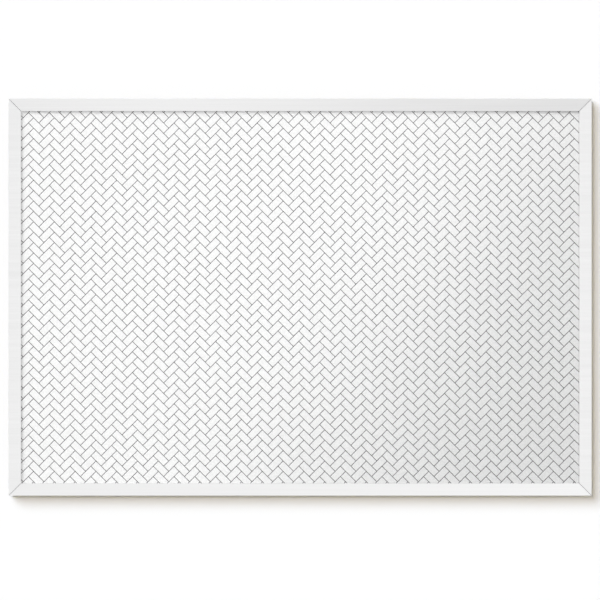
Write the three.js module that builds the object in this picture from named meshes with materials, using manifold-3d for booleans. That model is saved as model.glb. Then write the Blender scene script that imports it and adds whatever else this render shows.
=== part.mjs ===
// Magnetic memo board: a printed steel panel in a mitred aluminium section frame, hung on two wall hooks.
// Millimetres, +X right, +Z up, +Y back towards the wall. The wall plane is y = 0.
// The origin lies on the wall plane, midway between the two wall hooks that bear in the rings.

import * as THREE from 'three';
import { mergeVertices } from 'three/addons/utils/BufferGeometryUtils.js';
import Module from 'manifold-3d';

const wasm = await Module();
wasm.setup();

// Panel, as it shows inside the frame
const sightWidth = 600;
const sightHeight = 400;
const sightMargin = 1; // the film's front is split this far inside the frame's opening
const filmThickness = 0.3;
const sheetThickness = 0.6;
const backingThickness = 3;
const panelPlay = 1; // room between the panel's edge and the frame's outer wall

// Clearances
const seatGap = 0.1; // between two pieces that bear on each other
const sideGap = 0.3; // at each edge of a plate in the hardware channel
const mitreGap = 0.12; // taken off each mitred end
const boreGap = 0.15; // round a screw, in radius

// Frame section, measured in from the outer edge and back from the face
const faceWidth = 13.3;
const faceThickness = 1.4;
const faceRadius = 0.6; // outer front edge
const lipWidth = 1.2; // return lip that the panel sits behind
const lipRadius = 0.4;
const reveal = 2.8; // the panel's depth behind the face
const outerWall = 1.3;
const middleFlange = 1.2;
const innerLeg = 1.2;
const returnLip = 1.2;
const channelWidth = 7.2; // hardware channel, between its walls
const slotWidth = 4.6; // mouth of the hardware channel
const springRoom = 4; // between the backing and the middle flange

// Corner hardware
const shimThickness = 0.8;
const angleThickness = 1.6;
const shimRoom = 0.2; // over the shim, for the screws to draw up
const angleReach = 34; // leg's end, from the frame's outer corner
const angleChamfer = 1.2;
const setScrewPlace = 23; // from the frame's outer corner
const setScrewRadius = 2;
const setScrewSlot = 0.6;
const setScrewSlotDepth = 0.9;
const setScrewTipRadius = 1.4;
const setScrewTipLength = 0.5;
const setScrewSink = 0.2; // below the frame's back

// Bowed springs that press the panel forward
const springLength = 60; // between its two contact lines
const springWidth = 11;
const springThickness = 0.4;
const springTipRadius = 4;
const springTipAngle = THREE.MathUtils.degToRad(24);
const railSpringShares = [-0.35, 0, 0.35]; // of the rail's length
const stileSpringShares = [-0.27, 0.27];

// Hangers
const hangerSpacing = 400;
const slideNutLength = 12;
const hangerScrewRadius = 1.5;
const screwHeadRadius = 2.75;
const screwHeadHeight = 1.5;
const screwHeadRim = 0.5; // straight rim under the dome
const screwRecessLength = 3;
const screwRecessWidth = 0.7;
const screwRecessDepth = 0.8;
const screwTipRoom = 0.3; // between the screw's tip and the middle flange
const strapWidth = 9;
const strapThickness = 0.85; // one leaf of the folded strap
const foldGap = 0.3; // between the two leaves
const ringWireRadius = 1;
const ringReach = 13; // from the eye's axis to the inside of the bow
const ringSideRoom = 1.5; // between the strap and the ring's leg
const ringCornerRadius = 2.2; // of the wire's centre line
const ringButt = 0.5; // gap between the wire's two ends, inside the eye
const eyePlay = 0.25; // round the wire, in radius
const foldedUpRoom = 1.35; // between the folded-up ring and the screw's head
const headRoom = 0.3; // between the screw's head and the wall

// Rubber bumpers, plugged into the stiles' channels
const bumperRadius = 4.6;
const bumperEdgeRadius = 1;
const bumperPlace = 60; // from the frame's outer corner
const bumperStemGap = 0.1;
const bumperStemTipRadius = 1.6;

// Counts
const fineArcSteps = 4;
const springArcSteps = 12;
const springTipSteps = 4;
const eyeArcSteps = 20;
const holeSides = 20;
const screwSides = 20;
const bumperSides = 32;
const domeSteps = 5;
const wireSides = 10;
const ringSteps = 84;

// Worked out from the sizes above
const overrun = faceWidth; // how far a cutting tool runs past the piece
const overallWidth = sightWidth + faceWidth * 2;
const overallHeight = sightHeight + faceWidth * 2;
const filmFront = reveal + seatGap;
const sheetFront = filmFront + filmThickness;
const backingFront = sheetFront + sheetThickness;
const backingBack = backingFront + backingThickness;
const flangeFront = backingBack + springRoom;
const channelFloor = flangeFront + middleFlange;
const channelCeiling = channelFloor + shimThickness + shimRoom + angleThickness + seatGap * 2;
const angleFront = channelCeiling - seatGap - angleThickness;
const frameBack = channelCeiling + returnLip;
const legOuter = outerWall + channelWidth;
const legInner = legOuter + innerLeg;
const channelMiddle = outerWall + channelWidth / 2;
const returnLipWidth = (channelWidth - slotWidth) / 2;
const plateWidth = channelWidth - sideGap * 2;
const panelWidth = overallWidth - (outerWall + panelPlay) * 2;
const panelHeight = overallHeight - (outerWall + panelPlay) * 2;
const strapStack = strapThickness * 2 + foldGap;
const strapFront = frameBack + seatGap;
const strapBack = strapFront + strapStack;
const eyeDepth = strapFront + strapStack / 2;
const eyeRadius = ringWireRadius + eyePlay;
const eyeDrop = ringReach + ringWireRadius * 2 + foldedUpRoom + screwHeadRadius; // from screw to eye
const headFront = strapBack + seatGap;
const headBack = headFront + screwHeadHeight;
const wallDepth = headBack + headRoom;
const faceY = -wallDepth;
const topZ = channelMiddle + eyeDrop - ringReach;
const boardMiddleZ = topZ - overallHeight / 2;
const quarterTurn = Math.PI / 2;

// Finishes
const brushedAluminium = new THREE.MeshStandardMaterial({ color: 0xe6e6e5, metalness: 0.9, roughness: 0.38 });
const printedFilm = new THREE.MeshStandardMaterial({ color: 0xfafafa, metalness: 0, roughness: 0.4 });
const zincSheet = new THREE.MeshStandardMaterial({ color: 0xb8bcbe, metalness: 0.9, roughness: 0.45 });
const hardboard = new THREE.MeshStandardMaterial({ color: 0x8a6544, metalness: 0, roughness: 0.8 });
const springSteel = new THREE.MeshStandardMaterial({ color: 0x8d9196, metalness: 0.9, roughness: 0.35 });
const zincPlate = new THREE.MeshStandardMaterial({ color: 0xc5c8cc, metalness: 0.95, roughness: 0.3 });
const blackRubber = new THREE.MeshStandardMaterial({ color: 0x303234, metalness: 0, roughness: 0.7 });

// A manifold solid of a closed geometry, with its shared vertices merged and its empty faces left out.
function solidFrom(geometry) {
  const bare = new THREE.BufferGeometry();
  bare.setAttribute('position', geometry.getAttribute('position'));
  bare.setIndex(geometry.index);
  const merged = mergeVertices(bare);
  const corners = merged.index.array;
  const triVerts = [];
  for (let face = 0; face < corners.length / 3; face++) {
    const [a, b, c] = corners.slice(face * 3, face * 3 + 3);
    if (a !== b && b !== c && c !== a) triVerts.push(a, b, c);
  }
  const vertProperties = new Float32Array(merged.getAttribute('position').array);
  const mesh = new wasm.Mesh({ numProp: 3, vertProperties, triVerts: new Uint32Array(triVerts) });
  return new wasm.Manifold(mesh);
}

// The geometry of a manifold solid.
function geometryFrom(solid) {
  const mesh = solid.getMesh();
  const geometry = new THREE.BufferGeometry();
  geometry.setAttribute('position', new THREE.BufferAttribute(mesh.vertProperties, 3));
  geometry.setIndex(new THREE.BufferAttribute(mesh.triVerts, 1));
  geometry.computeVertexNormals();
  return geometry;
}

// Adds a named piece to its group.
function addPiece(group, name, geometry, material, x = 0, y = 0, z = 0) {
  const mesh = new THREE.Mesh(geometry, material);
  mesh.name = name;
  mesh.position.set(x, y, z);
  group.add(mesh);
}

// Points of an arc about (x, y), both ends included.
function arcPoints(x, y, radius, from, to, steps) {
  const points = [];
  for (let i = 0; i <= steps; i++) {
    const angle = from + ((to - from) * i) / steps;
    points.push(new THREE.Vector2(x + radius * Math.cos(angle), y + radius * Math.sin(angle)));
  }
  return points;
}

// Points of a full circle about (x, y), with no point twice.
function circlePoints(x, y, radius, sides) {
  return arcPoints(x, y, radius, 0, Math.PI * 2, sides).slice(1);
}

// A prism of an outline, with round holes if it has any.
function prism(outline, depth, holes = []) {
  const shape = new THREE.Shape(outline);
  shape.holes = holes.map((points) => new THREE.Path(points));
  return new THREE.ExtrudeGeometry(shape, { depth, steps: 1, bevelEnabled: false });
}

// A turned piece on an axis front to back, from a profile of [radius, depth] pairs.
function turned(profile, sides) {
  return new THREE.LatheGeometry(profile.map(([radius, depth]) => new THREE.Vector2(radius, depth)), sides);
}

// The frame section: x in from the outer edge, y back from the face.
function sectionOutline() {
  const corner = (x, y) => new THREE.Vector2(x, y);
  return [
    ...arcPoints(faceRadius, faceRadius, faceRadius, Math.PI, Math.PI + quarterTurn, fineArcSteps),
    ...arcPoints(faceWidth - lipRadius, lipRadius, lipRadius, -quarterTurn, 0, fineArcSteps),
    corner(faceWidth, reveal),
    corner(faceWidth - lipWidth, reveal),
    corner(faceWidth - lipWidth, faceThickness),
    corner(outerWall, faceThickness),
    corner(outerWall, flangeFront),
    corner(legInner, flangeFront),
    corner(legInner, frameBack),
    corner(legOuter - returnLipWidth, frameBack),
    corner(legOuter - returnLipWidth, channelCeiling),
    corner(legOuter, channelCeiling),
    corner(legOuter, channelFloor),
    corner(outerWall, channelFloor),
    corner(outerWall, channelCeiling),
    corner(outerWall + returnLipWidth, channelCeiling),
    corner(outerWall + returnLipWidth, frameBack),
    corner(0, frameBack),
  ];
}

// One member of the frame along x, its outer edge at z = 0 and its ends cut at 45 degrees.
function frameMember(length) {
  const geometry = prism(sectionOutline(), length);
  const place = geometry.getAttribute('position');
  for (let i = 0; i < place.count; i++) {
    const inward = place.getX(i) + mitreGap;
    const along = place.getZ(i) > length / 2 ? length - inward : inward;
    place.setZ(i, along - length / 2);
  }
  return geometry.rotateY(quarterTurn);
}

// The printed film. Its front is split round the part that shows.
function filmSlab() {
  const ring = (width, height, y) => [
    [-width / 2, y, -height / 2], [width / 2, y, -height / 2],
    [width / 2, y, height / 2], [-width / 2, y, height / 2],
  ];
  const shownWidth = sightWidth - sightMargin * 2;
  const shownHeight = sightHeight - sightMargin * 2;
  const rings = [
    ring(shownWidth, shownHeight, 0),
    ring(panelWidth, panelHeight, 0),
    ring(panelWidth, panelHeight, filmThickness),
  ];
  const faces = [0, 1, 2, 0, 2, 3];
  const outer = rings[0].length; // the first corner of the second ring, and below of the third
  const back = outer + rings[1].length;
  for (let i = 0; i < outer; i++) {
    const next = (i + 1) % outer;
    faces.push(i + outer, next + outer, next, i + outer, next, i);
    faces.push(i + back, next + back, next + outer, i + back, next + outer, i + outer);
  }
  faces.push(back, back + 2, back + 1, back, back + 3, back + 2);
  const geometry = new THREE.BufferGeometry();
  geometry.setAttribute('position', new THREE.Float32BufferAttribute(rings.flat(2), 3));
  geometry.setIndex(faces);
  geometry.computeVertexNormals();
  return geometry;
}

// A flat layer of the panel.
function panelLayer(thickness) {
  return new THREE.BoxGeometry(panelWidth, thickness, panelHeight).translate(0, thickness / 2, 0);
}

// A bowed leaf spring along x: its middle bears on the flange at the back, its two knuckles on the
// backing in front, and its tips turn up. x = 0 is its middle and y = 0 its front contact plane.
function bowedSpring() {
  const rise = springRoom - springThickness - seatGap * 2;
  const sweepRadius = ((springLength / 2) ** 2 + rise ** 2) / (rise * 2);
  const bowAngle = Math.asin(springLength / 2 / sweepRadius);
  const bowRadius = sweepRadius - springTipRadius;
  const bowCentre = rise - bowRadius;
  const tipX = springLength / 2;
  const half = springThickness / 2;
  // One face of the strip, offset to the back (+1) or to the front (-1) of its centre line.
  const face = (side) => {
    const bow = arcPoints(0, bowCentre, bowRadius + half * side, quarterTurn + bowAngle,
      quarterTurn - bowAngle, springArcSteps);
    const tip = (x, from, to) => arcPoints(x, springTipRadius, springTipRadius - half * side, from, to,
      springTipSteps);
    const left = tip(-tipX, -quarterTurn - springTipAngle, -quarterTurn + bowAngle);
    const right = tip(tipX, -quarterTurn - bowAngle, -quarterTurn + springTipAngle);
    return [...left.slice(0, -1), ...bow, ...right.slice(1)];
  };
  const outline = [...face(-1), ...face(1).reverse()];
  return prism(outline, springWidth).translate(0, half, -springWidth);
}

// L-shaped plate outline in the corner of the channel, from the frame's outer corner.
function angleOutline() {
  const near = outerWall + sideGap;
  const far = near + plateWidth;
  return [
    [near + angleChamfer, near], [angleReach, near], [angleReach, far], [far, far],
    [far, angleReach], [near, angleReach], [near, near + angleChamfer],
  ].map(([x, y]) => new THREE.Vector2(x, y));
}

// Corner plates lie flat, their outline's y pointing down.
function cornerAngle() {
  const radius = setScrewRadius + boreGap;
  const holes = [
    circlePoints(setScrewPlace, channelMiddle, radius, holeSides),
    circlePoints(channelMiddle, setScrewPlace, radius, holeSides),
  ];
  return prism(angleOutline(), angleThickness, holes).rotateX(-quarterTurn);
}

function cornerShim() {
  return prism(angleOutline(), shimThickness).rotateX(-quarterTurn);
}

// Slotted set screw. y = 0 is its tip, on the shim.
function setScrew() {
  const length = frameBack - setScrewSink - (channelFloor + shimThickness + seatGap * 2);
  const body = solidFrom(turned([
    [0, 0], [setScrewTipRadius, 0], [setScrewRadius, setScrewTipLength],
    [setScrewRadius, length], [0, length],
  ], screwSides));
  const depth = setScrewSlotDepth + overrun;
  const slot = new THREE.BoxGeometry(setScrewRadius * 2 + overrun, depth, setScrewSlot);
  slot.translate(0, length - setScrewSlotDepth + depth / 2, 0);
  return geometryFrom(body.subtract(solidFrom(slot)));
}

// Nut that slides in the hardware channel, its hole on the origin.
function slideNut() {
  const x = slideNutLength / 2;
  const y = plateWidth / 2;
  const outline = [[-x, -y], [x, -y], [x, y], [-x, y]].map(([a, b]) => new THREE.Vector2(a, b));
  const hole = circlePoints(0, 0, hangerScrewRadius + boreGap, holeSides);
  return prism(outline, angleThickness, [hole]).rotateX(-quarterTurn);
}

// Pan head screw. y = 0 is the underside of its head.
function hangerScrew() {
  const tip = channelFloor + screwTipRoom - headFront;
  const dome = [];
  for (let i = 0; i <= domeSteps; i++) {
    const angle = (quarterTurn * i) / domeSteps;
    const height = screwHeadHeight - screwHeadRim;
    dome.push([screwHeadRadius * Math.cos(angle), screwHeadRim + height * Math.sin(angle)]);
  }
  dome[domeSteps][0] = 0;
  const body = solidFrom(turned([
    [0, tip], [hangerScrewRadius, tip], [hangerScrewRadius, 0], [screwHeadRadius, 0], ...dome,
  ], screwSides));
  const depth = screwRecessDepth + overrun;
  const centre = screwHeadHeight - screwRecessDepth + depth / 2;
  const across = new THREE.BoxGeometry(screwRecessLength, depth, screwRecessWidth).translate(0, centre, 0);
  const along = new THREE.BoxGeometry(screwRecessWidth, depth, screwRecessLength).translate(0, centre, 0);
  return geometryFrom(body.subtract(solidFrom(across)).subtract(solidFrom(along)));
}

// Folded strap: two leaves that meet in an eye round the ring's bar. The screw's axis is the origin,
// and y = 0 is the strap's front.
function foldedStrap() {
  const middle = strapStack / 2;
  const outerRadius = eyeRadius + strapThickness;
  const neck = Math.asin(middle / outerRadius);
  const mouth = Math.asin(foldGap / 2 / eyeRadius);
  const topEnd = -strapWidth / 2;
  const side = [
    new THREE.Vector2(topEnd, 0),
    ...arcPoints(eyeDrop, middle, outerRadius, Math.PI + neck, Math.PI * 3 - neck, eyeArcSteps),
    new THREE.Vector2(topEnd, strapStack),
    new THREE.Vector2(topEnd, middle + foldGap / 2),
    ...arcPoints(eyeDrop, middle, eyeRadius, Math.PI * 3 - mouth, Math.PI + mouth, eyeArcSteps),
    new THREE.Vector2(topEnd, middle - foldGap / 2),
  ];
  const strip = solidFrom(prism(side, strapWidth).translate(0, 0, -strapWidth / 2).rotateY(quarterTurn));
  const plan = [
    ...arcPoints(0, 0, strapWidth / 2, Math.PI, Math.PI * 2, eyeArcSteps),
    new THREE.Vector2(strapWidth / 2, eyeDrop + outerRadius + overrun),
    new THREE.Vector2(-strapWidth / 2, eyeDrop + outerRadius + overrun),
  ];
  const height = outerRadius * 2 + overrun * 2;
  const hole = circlePoints(0, 0, hangerScrewRadius + boreGap, holeSides);
  const trim = prism(plan, height, [hole]).rotateX(-quarterTurn).translate(0, middle - height / 2, 0);
  return geometryFrom(strip.intersect(solidFrom(trim)));
}

// A flat path laid in the x-z plane.
class UprightCurve extends THREE.Curve {
  constructor(path) {
    super();
    this.path = path;
  }

  getPoint(t, target = new THREE.Vector3()) {
    const point = this.path.getPoint(t);
    return target.set(point.x, 0, point.y);
  }
}

// D-ring of round wire, hanging from its straight bar. The wire's two ends butt inside the eye.
function hangerRing() {
  const halfWidth = strapWidth / 2 + ringSideRoom + ringWireRadius;
  const legEnd = -(ringReach + ringWireRadius - halfWidth);
  const corner = ringCornerRadius;
  const path = new THREE.Path();
  path.moveTo(ringButt / 2, 0);
  path.lineTo(halfWidth - corner, 0);
  path.absarc(halfWidth - corner, -corner, corner, quarterTurn, 0, true);
  path.lineTo(halfWidth, legEnd);
  path.absarc(0, legEnd, halfWidth, 0, -Math.PI, true);
  path.lineTo(-halfWidth, -corner);
  path.absarc(-(halfWidth - corner), -corner, corner, Math.PI, quarterTurn, true);
  path.lineTo(-ringButt / 2, 0);
  const wire = new THREE.Shape(circlePoints(0, 0, ringWireRadius, wireSides));
  const extrudePath = new UprightCurve(path);
  return new THREE.ExtrudeGeometry(wire, { steps: ringSteps, bevelEnabled: false, extrudePath });
}

// Rubber bumper. y = 0 is the underside of its disc, and its stem fills the channel's mouth.
function bumper() {
  const thickness = wallDepth - frameBack - seatGap;
  const stemRadius = slotWidth / 2 - bumperStemGap;
  const stemTip = channelCeiling - returnLip - frameBack;
  const edge = [];
  for (let i = 0; i <= fineArcSteps; i++) {
    const angle = (quarterTurn * i) / fineArcSteps;
    const radius = bumperRadius - bumperEdgeRadius + bumperEdgeRadius * Math.cos(angle);
    edge.push([radius, thickness - bumperEdgeRadius + bumperEdgeRadius * Math.sin(angle)]);
  }
  return turned([
    [0, stemTip], [bumperStemTipRadius, stemTip], [stemRadius, -returnLip], [stemRadius, 0],
    [bumperRadius, 0], ...edge, [0, thickness],
  ], bumperSides);
}

const memoBoard = new THREE.Group();

// Everything on the board is placed from the middle of its face plane, y counting back into it.
const board = new THREE.Group();
board.position.set(0, faceY, boardMiddleZ);
memoBoard.add(board);

// A side's own space: x along the member, y back from the face, z outwards from the frame's outer edge.
function sideSpace(quarters, reach) {
  const turnedGroup = new THREE.Group();
  turnedGroup.rotation.y = quarterTurn * quarters;
  const edgeGroup = new THREE.Group();
  edgeGroup.position.z = reach;
  turnedGroup.add(edgeGroup);
  board.add(turnedGroup);
  return edgeGroup;
}

const rails = [['top', 0], ['bottom', 2]];
const stiles = [['right', 1], ['left', 3]];

for (const [side, quarters] of rails) {
  const space = sideSpace(quarters, overallHeight / 2);
  addPiece(space, `${side}_rail`, frameMember(overallWidth), brushedAluminium);
  railSpringShares.forEach((share, i) => {
    addPiece(space, `spring_${side}_${i + 1}`, bowedSpring(), springSteel,
      share * overallWidth, backingBack + seatGap, -(outerWall + panelPlay));
  });
}

for (const [side, quarters] of stiles) {
  const space = sideSpace(quarters, overallWidth / 2);
  addPiece(space, `${side}_stile`, frameMember(overallHeight), brushedAluminium);
  stileSpringShares.forEach((share, i) => {
    addPiece(space, `spring_${side}_${i + 1}`, bowedSpring(), springSteel,
      share * overallHeight, backingBack + seatGap, -(outerWall + panelPlay));
  });
  for (const end of [-1, 1]) {
    const level = (side === 'right') === (end < 0) ? 'top' : 'bottom';
    addPiece(space, `bumper_${level}_${side}`, bumper(), blackRubber,
      end * (overallHeight / 2 - bumperPlace), frameBack + seatGap, -channelMiddle);
  }
}

// Corner plates and their set screws. Each corner is the top left one, turned about the face's axis.
const corners = [['top_left', -1, 1], ['top_right', 1, 1], ['bottom_right', 1, -1], ['bottom_left', -1, -1]];
corners.forEach(([place, x, z], quarters) => {
  const space = new THREE.Group();
  space.position.set((x * overallWidth) / 2, 0, (z * overallHeight) / 2);
  space.rotation.y = quarterTurn * quarters;
  board.add(space);
  const shimFront = channelFloor + seatGap;
  addPiece(space, `corner_shim_${place}`, cornerShim(), zincPlate, 0, shimFront);
  addPiece(space, `corner_angle_${place}`, cornerAngle(), zincPlate, 0, angleFront);
  const legs = quarters % 2 === 0 ? ['rail', 'stile'] : ['stile', 'rail'];
  const screwFront = shimFront + shimThickness + seatGap;
  addPiece(space, `set_screw_${place}_${legs[0]}`, setScrew(), zincPlate,
    setScrewPlace, screwFront, -channelMiddle);
  addPiece(space, `set_screw_${place}_${legs[1]}`, setScrew(), zincPlate,
    channelMiddle, screwFront, -setScrewPlace);
});

// The panel's layers, front to back
addPiece(board, 'printed_film', filmSlab(), printedFilm, 0, filmFront);
addPiece(board, 'steel_sheet', panelLayer(sheetThickness), zincSheet, 0, sheetFront);
addPiece(board, 'backing_board', panelLayer(backingThickness), hardboard, 0, backingFront);

// Hangers, each clamped in the top rail's channel, their rings hanging free
for (const [side, x] of [['left', -hangerSpacing / 2], ['right', hangerSpacing / 2]]) {
  const space = new THREE.Group();
  space.position.set(x, faceY, topZ - channelMiddle);
  memoBoard.add(space);
  addPiece(space, `slide_nut_${side}`, slideNut(), zincPlate, 0, angleFront);
  addPiece(space, `hanger_strap_${side}`, foldedStrap(), zincPlate, 0, strapFront);
  addPiece(space, `hanger_screw_${side}`, hangerScrew(), zincPlate, 0, headFront);
  addPiece(space, `hanger_ring_${side}`, hangerRing(), zincPlate, 0, eyeDepth, -eyeDrop);
}

export default memoBoard;
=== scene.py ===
# %% [markdown]
# # A magnetic memo board, dressed in Blender
# The object is a white steel wall board, printed with a fine grey herringbone, in a slim mitred
# frame of brushed aluminium. Its CAD solids are already exact, and they carry the joints: two
# hangers slide in the frame's back, and a ring swings in each of them. This script loads those
# solids and keeps every piece where the CAD puts it. It then does what a CAD solid can't: the
# printed pattern, rounded edges, real finishes and the light. Blender works in metres here. The
# object's lengths are written in millimetres and multiplied by MM, and the room, the camera and
# the lamps are set out in metres.

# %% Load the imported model
import math

import bmesh
import bpy
from mathutils import Matrix, Vector


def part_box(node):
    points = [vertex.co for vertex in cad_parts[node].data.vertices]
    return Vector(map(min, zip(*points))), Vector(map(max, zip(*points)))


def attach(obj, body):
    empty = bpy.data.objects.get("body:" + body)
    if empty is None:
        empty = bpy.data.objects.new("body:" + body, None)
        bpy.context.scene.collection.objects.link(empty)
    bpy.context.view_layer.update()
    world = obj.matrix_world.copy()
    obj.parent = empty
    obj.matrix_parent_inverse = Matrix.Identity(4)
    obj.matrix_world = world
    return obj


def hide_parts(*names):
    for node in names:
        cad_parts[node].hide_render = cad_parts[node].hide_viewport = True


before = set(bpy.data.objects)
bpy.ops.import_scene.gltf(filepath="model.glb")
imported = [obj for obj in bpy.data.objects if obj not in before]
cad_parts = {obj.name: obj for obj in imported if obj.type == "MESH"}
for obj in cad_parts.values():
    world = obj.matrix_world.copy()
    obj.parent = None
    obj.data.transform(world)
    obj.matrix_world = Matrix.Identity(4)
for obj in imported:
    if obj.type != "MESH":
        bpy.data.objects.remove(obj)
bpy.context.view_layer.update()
MM = 0.001
QUARTER_TURN = math.pi / 2
scene = bpy.context.scene

# %% [markdown]
# ## The board's measures
# Every piece is placed from a few sizes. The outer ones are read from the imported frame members, so
# that this scene can't drift away from the CAD. The frame is described once, as one side lying
# level: x runs along the member, y runs back from the face, and z runs outwards, from minus the
# member's width to 0 at its outer edge. Quarter turns about y then carry that one side to the other
# three.

# %% Sides of the frame
low_left = Vector(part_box("left_stile")[0])
low_bottom = Vector(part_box("bottom_rail")[0])
high_right = Vector(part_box("right_stile")[1])
high_top = Vector(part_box("top_rail")[1])
WIDTH = high_right.x - low_left.x
HEIGHT = high_top.z - low_bottom.z
FACE_Y = low_bottom.y
MIDDLE_Z = (high_top.z + low_bottom.z) / 2
SIDES = [("top_rail", 0, WIDTH, HEIGHT), ("right_stile", 1, HEIGHT, WIDTH),
         ("bottom_rail", 2, WIDTH, HEIGHT), ("left_stile", 3, HEIGHT, WIDTH)]


def side_matrix(quarters, across):
    """Takes one side's own space, with its outer edge at z = 0, to the board."""
    middle = Matrix.Translation((0, FACE_Y, MIDDLE_Z))
    turn = Matrix.Rotation(quarters * QUARTER_TURN, 4, "Y")
    return middle @ turn @ Matrix.Translation((0, 0, across / 2))


print("board", round(WIDTH / MM, 1), "by", round(HEIGHT / MM, 1), "mm, its face",
      round(-FACE_Y / MM, 1), "mm off the wall")

# %% [markdown]
# ## Two small helpers
# Paint and metal colours are easy to judge as the hex values of a screen, but a shader works with
# linear light, so one function turns the first into the second. The other adds a node to any tree,
# sets it up and fills its inputs, either with plain values or with links. With it, a whole material
# reads as a short list.

# %% Colours and nodes


def linear(hex_colour):
    """A colour written as a screen's hex value, as the linear values of a shader."""
    screen = [int(hex_colour[i:i + 2], 16) / 255 for i in (1, 3, 5)]
    light = [c / 12.92 if c <= 0.04045 else ((c + 0.055) / 1.055) ** 2.4 for c in screen]
    return (*light, 1.0)


def add_node(tree, kind, inputs=None, **settings):
    """Adds a node. An input takes a value, another node's output, or a list of outputs."""
    node = tree.nodes.new(kind)
    for name, value in settings.items():
        setattr(node, name, value)
    for socket, value in (inputs or {}).items():
        links = value if isinstance(value, list) else [value]
        if isinstance(links[0], bpy.types.NodeSocket):
            for link in links:
                tree.links.new(link, node.inputs[socket])
        else:
            node.inputs[socket].default_value = value
    return node


print("white as linear light:", linear("#ffffff"), "and mid grey:", round(linear("#808080")[0], 3))

# %% [markdown]
# ## Finishes
# Each finish starts from what the real one is and how its surface was made. Patterns read the
# Object coordinates. These are metres measured on the piece itself, so a grain of 1.2 mm is the
# same size on a small piece and on a large one, and it moves with the piece. A Mapping node scales
# them to the pattern: a scale of one over the pattern's real size gives one cycle of it per size.
# Most patterns here are a noise between two tones of one colour. Nearly all of a noise's values lie
# between 0.3 and 0.7, so the two tones stand there. A value that is the same all over goes straight
# on the shader's socket.

# %% Start a finish and give it two tones
NOISE_LOW = 0.3
NOISE_HIGH = 0.7


def start_finish(name, colour, metallic, roughness):
    """A material with its shader, and the Object coordinates that its patterns read."""
    finish = bpy.data.materials.new(name)
    finish.use_nodes = True
    tree = finish.node_tree
    shader = tree.nodes["Principled BSDF"]
    shader.inputs["Base Color"].default_value = linear(colour)
    shader.inputs["Metallic"].default_value = metallic
    shader.inputs["Roughness"].default_value = roughness
    place = add_node(tree, "ShaderNodeTexCoord").outputs["Object"]
    return finish, tree, shader, place


def per_size(*sizes_mm):
    """The Mapping scale that makes one cycle of a pattern as large as these sizes."""
    return tuple(1 / (size * MM) for size in sizes_mm)


def two_tones(tree, place, sizes_mm, tones, ends=(NOISE_LOW, NOISE_HIGH), shift=(0, 0, 0),
              turn=(0, 0, 0), **noise_inputs):
    """Colours a finish by a noise of these sizes, from a dark tone to a light one."""
    mapped = add_node(tree, "ShaderNodeMapping", {
        "Vector": place, "Location": shift, "Rotation": turn, "Scale": per_size(*sizes_mm)})
    noise = add_node(tree, "ShaderNodeTexNoise", {
        "Vector": mapped.outputs[0], "Scale": 1.0, **noise_inputs})
    ramp = add_node(tree, "ShaderNodeValToRGB", {"Fac": noise.outputs["Fac"]})
    for element, position, tone in zip(ramp.color_ramp.elements, ends, tones):
        element.position = position
        element.color = linear(tone)
    tree.links.new(ramp.outputs[0], tree.nodes["Principled BSDF"].inputs["Base Color"])
    return noise.outputs["Fac"]


print("a 1.2 mm grain has a Mapping scale of", round(per_size(1.2)[0], 1))

# %% [markdown]
# ### Brushed and anodised aluminium
# The frame is cut from an extruded section. An abrasive belt draws fine level lines over it, and
# clear anodising then seals them under a thin glassy oxide. It is a pale satin metal with soft
# reflections. The lines run along x on all four members. They come in many widths at once, from
# bands about 26 mm wide, where the belt pressed harder or less hard, down to lines just under a
# millimetre. Real lines are finer still, a few to the millimetre, and would vanish at this
# distance, so the fine end is drawn coarser. They change the colour and the roughness by very
# little.

# %% Frame finish
BRUSH_LENGTH = 1500
BRUSH_BAND = 26
BRUSH_START = 23.7
brushed_aluminium, tree, shader, place = start_finish(
    "brushed anodised aluminium", "#efefef", 1.0, 0.36)
brush = two_tones(tree, place, (BRUSH_LENGTH, BRUSH_BAND, BRUSH_BAND), ("#e9e9e9", "#f5f5f5"),
                  shift=(0, 0, BRUSH_START), Detail=5.0, Roughness=0.9)
brush_rough = add_node(tree, "ShaderNodeMapRange", {
    "Value": brush, "From Min": NOISE_LOW, "From Max": NOISE_HIGH, "To Min": 0.33, "To Max": 0.4})
brush_bump = add_node(tree, "ShaderNodeBump", {
    "Height": brush, "Strength": 0.15, "Distance": 0.02 * MM})
tree.links.new(brush_rough.outputs[0], shader.inputs["Roughness"])
tree.links.new(brush_bump.outputs[0], shader.inputs["Normal"])
print("made", brushed_aluminium.name)

# %% [markdown]
# ### Sawn aluminium, darkened as painted shade
# The members are cut to their mitres after anodising. There the metal is raw and duller. Its colour
# is also painted much darker than raw aluminium. That is painted shade, so that the narrow joint
# reads as a thin dark line. The saw's teeth leave faint marks across the cut, about half a
# millimetre apart and long in the direction of the blade's stroke, which is taken as straight back.

# %% Finish of the cut ends, darkened as painted shade
SAW_MARK = 0.5
SAW_STROKE = 20
# The dark grey base and its two tones are painted shade, which makes the mitre joint read dark.
sawn_aluminium_painted_shade, tree, shader, place = start_finish("sawn aluminium", "#77787a", 1.0, 0.55)
saw_marks = two_tones(tree, place, (SAW_MARK, SAW_STROKE, SAW_MARK), ("#6d6e70", "#818284"),
                      Detail=2.0)
saw_bump = add_node(tree, "ShaderNodeBump", {
    "Height": saw_marks, "Strength": 0.3, "Distance": 0.02 * MM})
tree.links.new(saw_bump.outputs[0], shader.inputs["Normal"])
print("made", sawn_aluminium_painted_shade.name)

# %% [markdown]
# ### White ink on a grey ground
# The board's face is a printed film, bonded to the steel. The herringbone is drawn by two coats: a
# plain dark grey ground, and over it small white tiles of ultraviolet-cured ink, which leave the
# ground bare in narrow joints. The ink is satin and very slightly uneven, as ink that is sprayed in
# droplets is. Its mottle is about a millimetre wide. The ground was rolled on, so its own is wider.

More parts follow.
